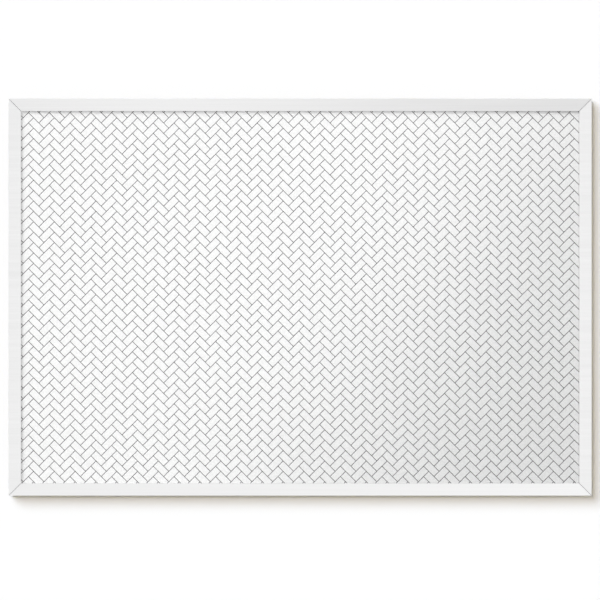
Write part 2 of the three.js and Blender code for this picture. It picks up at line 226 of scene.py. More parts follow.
# %% Ink and ground
INK_MOTTLE = 1.1
white_ink, tree, shader, place = start_finish("white satin printing ink", "#f4f4f4", 0.0, 0.55)
two_tones(tree, place, (INK_MOTTLE, INK_MOTTLE, INK_MOTTLE), ("#ededed", "#f9f9f9"),
          ends=(0.35, 0.65), Detail=2.0)

GROUND_MOTTLE = 3
grey_ground, tree, shader, place = start_finish("grey ground coat", "#343434", 0.0, 0.6)
two_tones(tree, place, (GROUND_MOTTLE, GROUND_MOTTLE, GROUND_MOTTLE), ("#2e2e2e", "#3a3a3a"))
print("made", white_ink.name, "and", grey_ground.name)

# %% [markdown]
# ### Galvanised sheet
# The steel under the film is dipped in molten zinc. The zinc freezes in flat crystals called
# spangle, each a little lighter or darker than the next. Here they are 9 mm across, drawn by a
# texture of irregular cells, which gives each cell a tone of its own.

# %% Sheet finish
SPANGLE = 9
galvanised_sheet, tree, shader, place = start_finish("galvanised steel sheet", "#b4b8ba", 1.0, 0.42)
spangle_place = add_node(tree, "ShaderNodeMapping", {
    "Vector": place, "Scale": per_size(SPANGLE, SPANGLE, SPANGLE)})
spangle = add_node(tree, "ShaderNodeTexVoronoi", {"Vector": spangle_place.outputs[0], "Scale": 1.0})
spangle_grey = add_node(tree, "ShaderNodeRGBToBW", {"Color": spangle.outputs["Color"]})
spangle_colour = add_node(tree, "ShaderNodeValToRGB", {"Fac": spangle_grey.outputs[0]})
spangle_colour.color_ramp.elements[0].color = linear("#a5a9ac")
spangle_colour.color_ramp.elements[1].color = linear("#c3c7c9")
tree.links.new(spangle_colour.outputs[0], shader.inputs["Base Color"])
print("made", galvanised_sheet.name)

# %% [markdown]
# ### Hardboard
# The backing is hardboard: steamed wood fibres, pressed hot on a wire screen. The screen leaves its
# weave on the board's rough side, which is the one that shows here. Its real pitch is about 1.5 mm,
# drawn here at 3 mm so that it shows from a metre away. Longer fibres give a brown mottle with
# darker flecks, and lean a little off the level. A wave texture has ten cycles in pi units at scale
# one, so a scale of pi / 10 makes that one cycle to the unit.

# %% Backing finish
SCREEN_PITCH = 3.0
FIBRE_LENGTH = 7.0
FIBRE_WIDTH = 1.6
FIBRE_LEAN = math.radians(20)
ONE_WAVE = math.pi / 10
FIBRE_HEIGHT = 0.5
hardboard, tree, shader, place = start_finish("screen backed hardboard", "#7d5a3c", 0.0, 0.82)
fibre = two_tones(tree, place, (FIBRE_LENGTH, FIBRE_WIDTH, FIBRE_WIDTH), ("#5f4029", "#95704d"),
                  ends=(0.28, 0.68), turn=(0, FIBRE_LEAN, 0), Detail=5.0, Roughness=0.7,
                  Distortion=0.6)
screen_place = add_node(tree, "ShaderNodeMapping", {
    "Vector": place, "Scale": per_size(SCREEN_PITCH, SCREEN_PITCH, SCREEN_PITCH)})
screen_bars = []
for direction in ("X", "Z"):
    bars = add_node(tree, "ShaderNodeTexWave", {
        "Vector": screen_place.outputs[0], "Scale": ONE_WAVE}, wave_type="BANDS",
        bands_direction=direction)
    screen_bars.append(bars.outputs["Fac"])
screen_weave = add_node(tree, "ShaderNodeMath", {
    0: screen_bars[0], 1: screen_bars[1]}, operation="MAXIMUM")
screen_rough = add_node(tree, "ShaderNodeMath", {
    0: fibre, 1: FIBRE_HEIGHT, 2: screen_weave.outputs[0]}, operation="MULTIPLY_ADD")
screen_bump = add_node(tree, "ShaderNodeBump", {
    "Height": screen_rough.outputs[0], "Strength": 0.7, "Distance": 0.25 * MM})
tree.links.new(screen_bump.outputs[0], shader.inputs["Normal"])
print("made", hardboard.name)

# %% [markdown]
# ### Spring steel, zinc plate and rubber
# The springs are hardened strip, blue grey from the oven, where the heat left faint bands across
# their bow. The hardware is steel with bright zinc plating and a clear blue passivation, so its
# grey turns slightly warmer and cooler over a few millimetres. The bumpers are moulded black
# rubber, matt, with the fine grain of a spark-eroded mould.

# %% Hardware finishes
TEMPER_BAND = 0.8
TEMPER_WIDTH = 20
spring_steel, tree, shader, place = start_finish("blued spring steel", "#7c838c", 1.0, 0.3)
two_tones(tree, place, (TEMPER_WIDTH, TEMPER_BAND, TEMPER_WIDTH), ("#6d747e", "#8d9298"),
          Detail=3.0)

PLATING_CLOUD = 5.0
zinc_plate, tree, shader, place = start_finish("bright zinc plated steel", "#c8ccd1", 1.0, 0.27)
plating = two_tones(tree, place, (PLATING_CLOUD, PLATING_CLOUD, PLATING_CLOUD),
                    ("#bfc6d0", "#d0d0cb"), Detail=2.0)
plating_rough = add_node(tree, "ShaderNodeMapRange", {
    "Value": plating, "From Min": NOISE_LOW, "From Max": NOISE_HIGH, "To Min": 0.22,
    "To Max": 0.34})
tree.links.new(plating_rough.outputs[0], shader.inputs["Roughness"])

RUBBER_GRAIN = 0.35
moulded_rubber, tree, shader, place = start_finish("moulded black rubber", "#2a2b2c", 0.0, 0.7)
grain = two_tones(tree, place, (RUBBER_GRAIN, RUBBER_GRAIN, RUBBER_GRAIN), ("#242526", "#343536"),
                  ends=(0, 1), Detail=2.0)
grain_bump = add_node(tree, "ShaderNodeBump", {
    "Height": grain, "Strength": 0.4, "Distance": 0.03 * MM})
tree.links.new(grain_bump.outputs[0], shader.inputs["Normal"])
print("made", spring_steel.name + ",", zinc_plate.name, "and", moulded_rubber.name)

# %% [markdown]
# ## Shapes by rule: Geometry Nodes
# Most of this board follows rules: a section drawn along a line, a tile repeated over a face, a
# spring set out along four sides. A geometry tree says such a rule once, with named inputs for its
# sizes. The first helper starts a tree with those inputs, and the second ends it. The third runs
# one on a starting mesh and keeps the result as a plain mesh: it sets the inputs, lets Blender
# evaluate the object, copies what comes out and throws the modifier away with its object.

# %% Start, end and run a tree


def start_tree(name, **kinds):
    """A geometry tree with named inputs. Returns the tree and its inputs' sockets."""
    tree = bpy.data.node_groups.new(name, "GeometryNodeTree")
    tree.interface.new_socket("Geometry", in_out="INPUT", socket_type="NodeSocketGeometry")
    for label, kind in kinds.items():
        tree.interface.new_socket(label.replace("_", " "), in_out="INPUT",
                                  socket_type="NodeSocket" + kind)
    tree.interface.new_socket("Geometry", in_out="OUTPUT", socket_type="NodeSocketGeometry")
    return tree, add_node(tree, "NodeGroupInput").outputs


def end_tree(tree, geometry, finish):
    """Ends a tree: real geometry for every instance, one finish, and the output."""
    real = add_node(tree, "GeometryNodeRealizeInstances", {"Geometry": geometry})
    finished = add_node(tree, "GeometryNodeSetMaterial", {
        "Geometry": real.outputs[0], "Material": finish})
    add_node(tree, "NodeGroupOutput", {"Geometry": finished.outputs[0]})


def run_tree(tree, start_mesh, **values):
    """The plain mesh that a tree makes of a starting mesh."""
    source = bpy.data.objects.new(tree.name, start_mesh)
    modifier = source.modifiers.new(tree.name, "NODES")
    modifier.node_group = tree
    for item in tree.interface.items_tree:
        label = item.name.replace(" ", "_")
        if item.in_out == "INPUT" and label in values:
            modifier[item.identifier] = values[label]
    scene.collection.objects.link(source)
    evaluated = source.evaluated_get(bpy.context.evaluated_depsgraph_get())
    made = bpy.data.meshes.new_from_object(evaluated)
    bpy.data.objects.remove(source)
    return made


print("helpers for geometry trees are ready")

# %% [markdown]
# ## From a mesh to a piece
# A few more helpers serve every shape below. One draws the line or outline that a tree sweeps. Two
# set the shading: smooth across small angles, and flat on large faces beside a rounded edge. One
# measures the volume inside a mesh, which is positive only when its faces point outwards. The last
# names a finished piece, the body that it rides on and the CAD nodes that it stands for.

# %% Outline, shading, volume and piece


def path_mesh(name, points, closed=False):
    """A mesh of edges only, through points given in millimetres."""
    count = len(points)
    edges = [(i, (i + 1) % count) for i in range(count if closed else count - 1)]
    mesh = bpy.data.meshes.new(name)
    mesh.from_pydata([Vector(point) * MM for point in points], edges, [])
    return mesh


def smooth(mesh, sharp_degrees):
    """Shades a mesh smooth, apart from edges that turn by more than an angle."""
    mesh.shade_smooth()
    mesh.set_sharp_from_angle(angle=math.radians(sharp_degrees))


def keep_faces_flat(piece):
    """Lets each rounded edge take its shading from the large flat faces beside it."""
    modifier = piece.modifiers.new("Flat faces", "WEIGHTED_NORMAL")
    modifier.keep_sharp = True


def volume_mm3(mesh):
    """The volume inside a mesh. It is positive when the faces point outwards."""
    work = bmesh.new()
    work.from_mesh(mesh)
    volume = work.calc_volume(signed=True) / MM ** 3
    work.free()
    return round(volume, 1)


def add_piece(name, mesh, body, slot, *replaced):
    """A finished piece: it rides on a body and stands for CAD nodes."""
    piece = bpy.data.objects.new(name, mesh)
    scene.collection.objects.link(piece)
    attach(piece, body)
    if replaced:
        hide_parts(*replaced)
    return piece


print("helpers for pieces are ready")

# %% [markdown]
# ## The frame's section
# The four members are one aluminium extrusion, cut to length at 45 degrees. Its section is a thin
# outline. The face has a lip at its inner edge, which holds the panel, and an outer wall behind its
# outer edge. A flange stands out from that wall behind the panel. Behind the flange, the wall and
# an inner leg form a channel, whose two return lips hold the hardware. An extrusion has no truly
# sharp edge: the die's corners leave a small radius, which draws a fine bright line along each
# member. So the section is written as its corners, each as its distance from the outer edge, its
# distance behind the face and its radius, and a function rounds them. Modelling the section once
# and sweeping it is closer to how the piece is made than bevelling four boxes would be.

# %% Draw the section
FACE_WIDTH = 13.3
FACE_THICKNESS = 1.4
FRAME_DEPTH = 16.0
OUTER_WALL = 1.3
LIP_INSIDE = 12.1
LIP_DEPTH = 2.8
LEG_INNER = 9.7
LEG_OUTER = 8.5
FLANGE_FRONT = 10.8
CHANNEL_FLOOR = 12.0
CHANNEL_CEILING = 14.8
RETURN_LIP = 1.3
FACE_EDGE = 0.25
DIE_EDGE = 0.2
SECTION = [
    (0, 0, FACE_EDGE), (FACE_WIDTH, 0, FACE_EDGE), (FACE_WIDTH, LIP_DEPTH, DIE_EDGE),
    (LIP_INSIDE, LIP_DEPTH, DIE_EDGE), (LIP_INSIDE, FACE_THICKNESS, DIE_EDGE),
    (OUTER_WALL, FACE_THICKNESS, DIE_EDGE), (OUTER_WALL, FLANGE_FRONT, DIE_EDGE),
    (LEG_INNER, FLANGE_FRONT, DIE_EDGE), (LEG_INNER, FRAME_DEPTH, DIE_EDGE),
    (LEG_OUTER - RETURN_LIP, FRAME_DEPTH, DIE_EDGE),
    (LEG_OUTER - RETURN_LIP, CHANNEL_CEILING, DIE_EDGE), (LEG_OUTER, CHANNEL_CEILING, DIE_EDGE),
    (LEG_OUTER, CHANNEL_FLOOR, DIE_EDGE), (OUTER_WALL, CHANNEL_FLOOR, DIE_EDGE),
    (OUTER_WALL, CHANNEL_CEILING, DIE_EDGE), (OUTER_WALL + RETURN_LIP, CHANNEL_CEILING, DIE_EDGE),
    (OUTER_WALL + RETURN_LIP, FRAME_DEPTH, DIE_EDGE), (0, FRAME_DEPTH, DIE_EDGE),
]
print("the section has", len(SECTION), "corners")

# %% Round its corners
CORNER_STEPS = 4


def rounded(corners):
    """Points of a closed outline of square corners, each given as x, y and its radius."""
    points = []
    for i, (x, y, radius) in enumerate(corners):
        here = Vector((x, y))
        before = (Vector(corners[i - 1][:2]) - here).normalized()
        after = (Vector(corners[(i + 1) % len(corners)][:2]) - here).normalized()
        centre = here + (before + after) * radius
        for step in range(CORNER_STEPS + 1):
            angle = QUARTER_TURN * step / CORNER_STEPS
            spoke = -after * math.cos(angle) - before * math.sin(angle)
            points.append(centre + spoke * radius)
    return points


section_points = rounded(SECTION)
print("rounded, it has", len(section_points), "points")

# %% [markdown]
# ## The four members
# The tree sweeps the section along a straight line. It then moves each point along x towards the
# middle, by its own distance from the outer edge and the joint's small gap: that cuts both ends at
# 45 degrees without a boolean. The gap is widest at the face, where the saw has broken the edge,
# and closes to the CAD's own gap behind it. A swept section lies the way that Curve to Mesh turns
# it, so a quarter turn stands it up again. The four members are four runs of this one tree, at two
# lengths.

# %% Tree of a mitred member
mitre_tree, given = start_tree("Mitred member", Length="Float", Front_Gap="Float",
                               Back_Gap="Float", Broken_Depth="Float", Finish="Material")
half = add_node(mitre_tree, "ShaderNodeMath", {
    0: given["Length"], 1: 0.5}, operation="MULTIPLY").outputs[0]
line_end = add_node(mitre_tree, "ShaderNodeCombineXYZ", {"X": half}).outputs[0]
line_start = add_node(mitre_tree, "ShaderNodeVectorMath", {
    0: line_end, "Scale": -1.0}, operation="SCALE").outputs[0]
line = add_node(mitre_tree, "GeometryNodeCurvePrimitiveLine", {
    "Start": line_start, "End": line_end})
outline = add_node(mitre_tree, "GeometryNodeMeshToCurve", {"Mesh": given["Geometry"]})
bar = add_node(mitre_tree, "GeometryNodeCurveToMesh", {
    "Curve": line.outputs[0], "Profile Curve": outline.outputs[0], "Fill Caps": True})
stood = add_node(mitre_tree, "GeometryNodeTransform", {
    "Geometry": bar.outputs[0], "Rotation": (QUARTER_TURN, 0, 0)})
point = add_node(mitre_tree, "GeometryNodeInputPosition").outputs[0]
axes = add_node(mitre_tree, "ShaderNodeSeparateXYZ", {"Vector": point}).outputs
reach = add_node(mitre_tree, "ShaderNodeMath", {0: half, 1: axes["Z"]}, operation="ADD").outputs[0]
gap = add_node(mitre_tree, "ShaderNodeMapRange", {
    "Value": axes["Y"], "From Max": given["Broken Depth"], "To Min": given["Front Gap"],
    "To Max": given["Back Gap"]}).outputs[0]
reach = add_node(mitre_tree, "ShaderNodeMath", {0: reach, 1: gap}, operation="SUBTRACT").outputs[0]
share = add_node(mitre_tree, "ShaderNodeMath", {0: reach, 1: half}, operation="DIVIDE").outputs[0]
along = add_node(mitre_tree, "ShaderNodeMath", {
    0: axes["X"], 1: share}, operation="MULTIPLY").outputs[0]
target = add_node(mitre_tree, "ShaderNodeCombineXYZ", {"X": along, "Y": axes["Y"], "Z": axes["Z"]})
mitred = add_node(mitre_tree, "GeometryNodeSetPosition", {
    "Geometry": stood.outputs[0], "Position": target.outputs[0]})
end_tree(mitre_tree, mitred.outputs[0], given["Finish"])
print(mitre_tree.name, "has", len(mitre_tree.nodes), "nodes")

# %% [markdown]
# A member's cut ends are the only faces that lean along it, so their normals tell which faces take
# the sawn finish, which is darkened as painted shade.

# %% Make the members
FRONT_GAP = 0.26
BACK_GAP = 0.12
CUT_SLOPE = 0.5
SMOOTH_BELOW = 40
for name, quarters, length, across in SIDES:
    outline_mesh = path_mesh("section", [(u, v, 0) for u, v in section_points], closed=True)
    member = run_tree(mitre_tree, outline_mesh, Length=length, Front_Gap=FRONT_GAP * MM,
                      Back_Gap=BACK_GAP * MM, Broken_Depth=FACE_THICKNESS * MM,
                      Finish=brushed_aluminium)
    member.materials.append(sawn_aluminium_painted_shade)
    for face in member.polygons:
        face.material_index = int(abs(face.normal.x) > CUT_SLOPE)
    member.transform(side_matrix(quarters, across))
    smooth(member, SMOOTH_BELOW)
    keep_faces_flat(add_piece(name + "_section", member, "board", "frame_aluminium", name))
    print(name, len(member.polygons), "faces,", volume_mm3(member), "mm3 of metal")

# %% [markdown]
# ## The herringbone print
# A herringbone repeats one pair of tiles, each twice as long as it is wide, one turned 45 degrees
# to the left and one to the right. Pairs sit on a grid that is 2.83 tile widths apart across and
# 1.41 apart up and down, and they mesh with no gap. The grey joint comes from making each tile
# smaller than its place. One tree makes the pair and puts it on every point of a grid. Ink is a
# solid layer, though a thin one, so each tile is a box 0.02 mm thick.

# %% Tree of the print
print_tree, given = start_tree("Herringbone", Tile_Width="Float", Joint="Float", Layer="Float",
                               Columns="Int", Rows="Int", Finish="Material")
DIAGONAL = math.sqrt(2)
tile_length = add_node(print_tree, "ShaderNodeMath", {
    0: given["Tile Width"], 1: 2}, operation="MULTIPLY").outputs[0]
size_x = add_node(print_tree, "ShaderNodeMath", {
    0: tile_length, 1: given["Joint"]}, operation="SUBTRACT").outputs[0]
size_z = add_node(print_tree, "ShaderNodeMath", {
    0: given["Tile Width"], 1: given["Joint"]}, operation="SUBTRACT").outputs[0]
tile_size = add_node(print_tree, "ShaderNodeCombineXYZ", {
    "X": size_x, "Y": given["Layer"], "Z": size_z})
tile = add_node(print_tree, "GeometryNodeMeshCube", {"Size": tile_size.outputs[0]})
pair = []
for lean in (1, -1):
    offset = add_node(print_tree, "ShaderNodeVectorMath", {
        0: (lean / DIAGONAL, 0, lean / (2 * DIAGONAL)), "Scale": given["Tile Width"]},
        operation="SCALE")
    leaning = add_node(print_tree, "GeometryNodeTransform", {
        "Geometry": tile.outputs["Mesh"], "Translation": offset.outputs[0],
        "Rotation": (0, -lean * QUARTER_TURN / 2, 0)})
    pair.append(leaning.outputs[0])
both = add_node(print_tree, "GeometryNodeJoinGeometry", {"Geometry": pair})
spans = []
for count, pitch in (("Columns", 2 * DIAGONAL), ("Rows", DIAGONAL)):
    cell = add_node(print_tree, "ShaderNodeMath", {
        0: given["Tile Width"], 1: pitch}, operation="MULTIPLY").outputs[0]
    steps = add_node(print_tree, "ShaderNodeMath", {
        0: given[count], 1: 1}, operation="SUBTRACT").outputs[0]
    span = add_node(print_tree, "ShaderNodeMath", {0: steps, 1: cell}, operation="MULTIPLY")
    spans.append(span.outputs[0])
grid = add_node(print_tree, "GeometryNodeMeshGrid", {
    "Size X": spans[0], "Size Y": spans[1], "Vertices X": given["Columns"],
    "Vertices Y": given["Rows"]})
upright = add_node(print_tree, "GeometryNodeTransform", {
    "Geometry": grid.outputs["Mesh"], "Rotation": (QUARTER_TURN, 0, 0)})
laid = add_node(print_tree, "GeometryNodeInstanceOnPoints", {
    "Points": upright.outputs[0], "Instance": both.outputs[0]})
end_tree(print_tree, laid.outputs[0], given["Finish"])
print(print_tree.name, "has", len(print_tree.nodes), "nodes")

# %% [markdown]
# The grid has one column and one row to spare on each side, and an odd number of each, so that one
# point lies on the pattern's middle. The pattern has no symmetry with the board, so it is shifted.

# %% Lay the tiles
TILE_WIDTH = 7.908
JOINT = 0.67
INK_LAYER = 0.02
PRINT_SHIFT_X = -9.83
PRINT_SHIFT_Z = -2.72
film_low, film_high = (Vector(corner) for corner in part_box("printed_film"))


def odd_count(length, pitch_mm):
    """An odd number of grid points that covers a length with one to spare at each end."""
    each_side = math.ceil(length / 2 / (pitch_mm * MM)) + 1
    return 2 * each_side + 1


columns = odd_count(film_high.x - film_low.x, 2 * DIAGONAL * TILE_WIDTH)
rows = odd_count(film_high.z - film_low.z, DIAGONAL * TILE_WIDTH)
ink = run_tree(print_tree, bpy.data.meshes.new("empty"), Tile_Width=TILE_WIDTH * MM,
               Joint=JOINT * MM, Layer=INK_LAYER * MM, Columns=columns, Rows=rows,
               Finish=white_ink)
ink.transform(Matrix.Translation((PRINT_SHIFT_X * MM, film_low.y - INK_LAYER * MM / 2,
                                  MIDDLE_Z + PRINT_SHIFT_Z * MM)))
print(columns, "by", rows, "pairs of tiles")

# %% [markdown]
# The white ink stops in the middle of its tiles, a little under the frame's lip. Beyond it the bare
# grey ground shows through the mitre joints as painted shade: a dark line where light would
# otherwise reach white ink. A bisecting plane on each side does that cut, and each cut tile is
# closed again.

# %% Cut the print to the frame
# Where the ink stops, bare grey ground is left in the mitre joints as painted shade.
PRINT_OVERLAP = 0.8
work = bmesh.new()
work.from_mesh(ink)
half_across = WIDTH / 2 - (FACE_WIDTH - PRINT_OVERLAP) * MM
half_up = HEIGHT / 2 - (FACE_WIDTH - PRINT_OVERLAP) * MM
for outwards, distance in (((-1, 0, 0), half_across), ((1, 0, 0), half_across),
                           ((0, 0, -1), half_up), ((0, 0, 1), half_up)):
    everything = work.verts[:] + work.edges[:] + work.faces[:]
    edge = Vector((0, 0, MIDDLE_Z)) + Vector(outwards) * distance
    bmesh.ops.bisect_plane(work, geom=everything, plane_co=edge, plane_no=outwards,
                           clear_outer=True)
    bmesh.ops.holes_fill(work, edges=[e for e in work.edges if e.is_boundary])
work.to_mesh(ink)
work.free()
add_piece("herringbone_print", ink, "board", "printed_film")
print("the print has", len(ink.polygons), "faces,", volume_mm3(ink), "mm3 of ink")

# %% [markdown]
# ## The leaf springs
# Ten bowed springs sit between the backing and the frame's flange, and press the panel forwards.
# Each is a strip of hardened steel, bent to a long arc between two small knuckles. The tree sweeps
# a flat section along the strip's centre line and sets the spring on ten points, and each point
# carries the quarter turn of its side as an attribute.

# %% Tree of the springs
spring_tree, given = start_tree("Leaf springs", Strip_Width="Float", Strip_Thickness="Float",
                                Places="Object", Finish="Material")
bent = add_node(spring_tree, "GeometryNodeMeshToCurve", {"Mesh": given["Geometry"]})
strip = add_node(spring_tree, "GeometryNodeCurvePrimitiveQuadrilateral", {
    "Width": given["Strip Thickness"], "Height": given["Strip Width"]})
swept = add_node(spring_tree, "GeometryNodeCurveToMesh", {
    "Curve": bent.outputs[0], "Profile Curve": strip.outputs[0], "Fill Caps": True})
places = add_node(spring_tree, "GeometryNodeObjectInfo", {"Object": given["Places"]})
quarter = add_node(spring_tree, "GeometryNodeInputNamedAttribute", {
    "Name": "quarters"}, data_type="FLOAT")
turn = add_node(spring_tree, "ShaderNodeMath", {
    0: quarter.outputs["Attribute"], 1: QUARTER_TURN}, operation="MULTIPLY")
turn = add_node(spring_tree, "ShaderNodeCombineXYZ", {"Y": turn.outputs[0]})
turn = add_node(spring_tree, "FunctionNodeEulerToRotation", {"Euler": turn.outputs[0]})
fitted = add_node(spring_tree, "GeometryNodeInstanceOnPoints", {
    "Points": places.outputs["Geometry"], "Instance": swept.outputs[0],
    "Rotation": turn.outputs[0]})
end_tree(spring_tree, fitted.outputs[0], given["Finish"])
print(spring_tree.name, "has", len(spring_tree.nodes), "nodes")

# %% [markdown]
# The centre line is worked out from arcs that touch. The bow is the top of a large circle, and each
# knuckle is the bottom of a small one that touches it from outside. So their centres are the sum of
# the two radii apart. That sum is the long side of a right-angled triangle, whose short sides are
# half the span and the sum less the rise.

# %% Bend one strip
SPRING_SPAN = 60
SPRING_RISE = 3.4
KNUCKLE_RADIUS = 4
TIP_ANGLE = math.radians(24)
KNUCKLE_STEPS = 6
BOW_STEPS = 32


def arc(centre, radius, start, end, steps):
    """Points of an arc in the x-y plane."""
    angles = [start + (end - start) * step / steps for step in range(steps + 1)]
    return [(centre[0] + radius * math.cos(a), centre[1] + radius * math.sin(a), 0)
            for a in angles]


half_span = SPRING_SPAN / 2
sum_of_radii = (half_span ** 2 + SPRING_RISE ** 2) / (2 * SPRING_RISE)
bow_angle = math.asin(half_span / sum_of_radii)
bow_radius = sum_of_radii - KNUCKLE_RADIUS
left_tip = arc((-half_span, KNUCKLE_RADIUS), KNUCKLE_RADIUS, -QUARTER_TURN - TIP_ANGLE,
               -QUARTER_TURN + bow_angle, KNUCKLE_STEPS)
bow = arc((0, SPRING_RISE - bow_radius), bow_radius, QUARTER_TURN + bow_angle,
          QUARTER_TURN - bow_angle, BOW_STEPS)
right_tip = arc((half_span, KNUCKLE_RADIUS), KNUCKLE_RADIUS, -QUARTER_TURN - bow_angle,
                -QUARTER_TURN + TIP_ANGLE, KNUCKLE_STEPS)
spring_path = path_mesh("spring path", left_tip[:-1] + bow + right_tip[1:])
print("a spring's bow has a radius of", round(bow_radius, 1), "mm")

# %% [markdown]
# Three springs stand along each rail and two along each stile, at shares of its length from its
# middle. They seat 0.1 mm behind the backing, in front of the flange.

# %% Set out the springs
STRIP_WIDTH = 11
STRIP_THICKNESS = 0.4
SPRING_EDGE = 2.3
BACKING_BACK = 6.8
SEAT_GAP = 0.1
SPRING_SHARES = {WIDTH: (-0.35, 0, 0.35), HEIGHT: (-0.27, 0.27)}
spots = []
quarters_of = []
for name, quarters, length, across in SIDES:
    depth = (BACKING_BACK + SEAT_GAP + STRIP_THICKNESS / 2) * MM
    inwards = -(SPRING_EDGE + STRIP_WIDTH / 2) * MM
    for share in SPRING_SHARES[length]:
        spots.append(side_matrix(quarters, across) @ Vector((share * length, depth, inwards)))
        quarters_of.append(float(quarters))
spot_mesh = bpy.data.meshes.new("spring places")
spot_mesh.from_pydata(spots, [], [])
spot_mesh.attributes.new("quarters", "FLOAT", "POINT").data.foreach_set("value", quarters_of)
spot_object = bpy.data.objects.new("spring places", spot_mesh)
scene.collection.objects.link(spot_object)
springs = run_tree(spring_tree, spring_path, Strip_Width=STRIP_WIDTH * MM,
                   Strip_Thickness=STRIP_THICKNESS * MM, Places=spot_object, Finish=spring_steel)
bpy.data.objects.remove(spot_object)
smooth(springs, SMOOTH_BELOW)
spring_nodes = [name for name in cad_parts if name.startswith("spring_")]
keep_faces_flat(add_piece("leaf_springs", springs, "board", "spring_steel", *spring_nodes))
print(len(spots), "springs,", len(springs.polygons), "faces,", volume_mm3(springs), "mm3 of steel")

# %% [markdown]
# ## The hanger rings
# Each ring is a round wire, bent to a D: a straight bar that turns in the strap's eye, two tight
# corners, and a half circle that hangs on the wall hook. Its two ends butt inside the eye. The tree
# draws a circle along the wire's centre line. There is one run for each ring, because each rides on
# its own body.

# %% Tree of the wire
WIRE_SIDES = 18
wire_tree, given = start_tree("Bent wire", Wire_Radius="Float", Finish="Material")
centre_line = add_node(wire_tree, "GeometryNodeMeshToCurve", {"Mesh": given["Geometry"]})
wire_round = add_node(wire_tree, "GeometryNodeCurvePrimitiveCircle", {
    "Resolution": WIRE_SIDES, "Radius": given["Wire Radius"]})
wire = add_node(wire_tree, "GeometryNodeCurveToMesh", {
    "Curve": centre_line.outputs[0], "Profile Curve": wire_round.outputs["Curve"],
    "Fill Caps": True})
end_tree(wire_tree, wire.outputs[0], given["Finish"])
print(wire_tree.name, "has", len(wire_tree.nodes), "nodes")

# %% Make the rings
WIRE_RADIUS = 1
RING_HALF = 7
RING_LEG = -7
RING_CORNER = 2.2
RING_BUTT = 0.5
RING_CORNER_STEPS = 8
RING_BOW_STEPS = 32
inner = RING_HALF - RING_CORNER
flat_path = [(RING_BUTT / 2, 0, 0)]
flat_path += arc((inner, -RING_CORNER), RING_CORNER, QUARTER_TURN, 0, RING_CORNER_STEPS)
flat_path += arc((0, RING_LEG), RING_HALF, 0, -math.pi, RING_BOW_STEPS)
flat_path += arc((-inner, -RING_CORNER), RING_CORNER, math.pi, QUARTER_TURN, RING_CORNER_STEPS)
flat_path += [(-RING_BUTT / 2, 0, 0)]
for side in ("left", "right"):
    node = "hanger_ring_" + side
    low, high = (Vector(corner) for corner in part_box(node))
    bar_place = Vector(((low.x + high.x) / 2, (low.y + high.y) / 2, high.z - WIRE_RADIUS * MM))
    ring_path = path_mesh("ring path", [(x, 0, z) for x, z, _ in flat_path])
    ring = run_tree(wire_tree, ring_path, Wire_Radius=WIRE_RADIUS * MM, Finish=zinc_plate)
    ring.transform(Matrix.Translation(bar_place))
    smooth(ring, SMOOTH_BELOW)
    add_piece(node + "_wire", ring, "ring_" + side, "zinc_plated_steel", node)
    print(node, len(ring.polygons), "faces,", volume_mm3(ring), "mm3 of wire")

# %% [markdown]
# ## Hardware from the CAD solids
# The corner angles, screws, nuts, straps and bumpers already have their shape. What they lack is
# the broken edge that stamping, turning or moulding leaves, which catches the light. A CAD node's
# own mesh stays as it is, so each is copied, its loose triangles are merged, and flat neighbours
# are joined to one face. A Bevel modifier then rounds what is sharper than 35 degrees, and Weighted
# Normal keeps the large faces flat beside it.

# %% Dress one piece of hardware
MERGE_DISTANCE = 0.001
FLAT_BELOW = 1
EDGE_ANGLE = 35


def body_of(node):
    """The body that a piece of hardware rides on."""
    moving = node.startswith(("hanger_", "slide_nut_"))
    return "hanger_" + node.rsplit("_", 1)[1] if moving else "board"


def dress(node, edge_mm, finish, slot):
    """A copy of a CAD node with its edges broken."""
    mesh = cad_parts[node].data.copy()
    mesh.materials.clear()
    mesh.materials.append(finish)
    work = bmesh.new()
    work.from_mesh(mesh)
    bmesh.ops.remove_doubles(work, verts=work.verts, dist=MERGE_DISTANCE * MM)
    bmesh.ops.dissolve_limit(work, angle_limit=math.radians(FLAT_BELOW), verts=work.verts,
                             edges=work.edges)
    work.to_mesh(mesh)
    work.free()
    mesh.shade_smooth()
    piece = add_piece(node + "_dressed", mesh, body_of(node), slot, node)
    bevel = piece.modifiers.new("Broken edges", "BEVEL")
    bevel.width = edge_mm * MM
    bevel.segments = 2
    bevel.limit_method = "ANGLE"
    bevel.angle_limit = math.radians(EDGE_ANGLE)
    keep_faces_flat(piece)


print("edges are broken past", EDGE_ANGLE, "degrees")

# %% [markdown]
# Each kind of hardware has its own width of broken edge: one that was stamped, cast or moulded is
# rounder than one that was turned on a lathe.

# %% Dress the hardware
HARDWARE = [
    ("corner_angle", 0.15, zinc_plate, "zinc_plated_steel"),
    ("corner_shim", 0.1, zinc_plate, "zinc_plated_steel"),
    ("set_screw", 0.08, zinc_plate, "zinc_plated_steel"),
    ("slide_nut", 0.15, zinc_plate, "zinc_plated_steel"),
    ("hanger_strap", 0.12, zinc_plate, "zinc_plated_steel"),
    ("hanger_screw", 0.08, zinc_plate, "zinc_plated_steel"),
    ("bumper", 0.15, moulded_rubber, "bumper_rubber"),
]
for start, edge_mm, finish, slot in HARDWARE:
    nodes = [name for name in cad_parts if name.startswith(start)]
    for node in nodes:
        dress(node, edge_mm, finish, slot)
    print(start, "dressed", len(nodes), "times")

# %% [markdown]
# ## The panel's layers
# The film, the sheet and the backing are flat and their solids are right, so they stay and only
# take their finish. The film's own solid is the grey ground that shows in the joints of the print.

# %% Finish the layers
for node, finish in (("printed_film", grey_ground), ("steel_sheet", galvanised_sheet),
                     ("backing_board", hardboard)):
    for material_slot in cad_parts[node].material_slots:
        material_slot.material = finish
    print(node, "takes", finish.name)

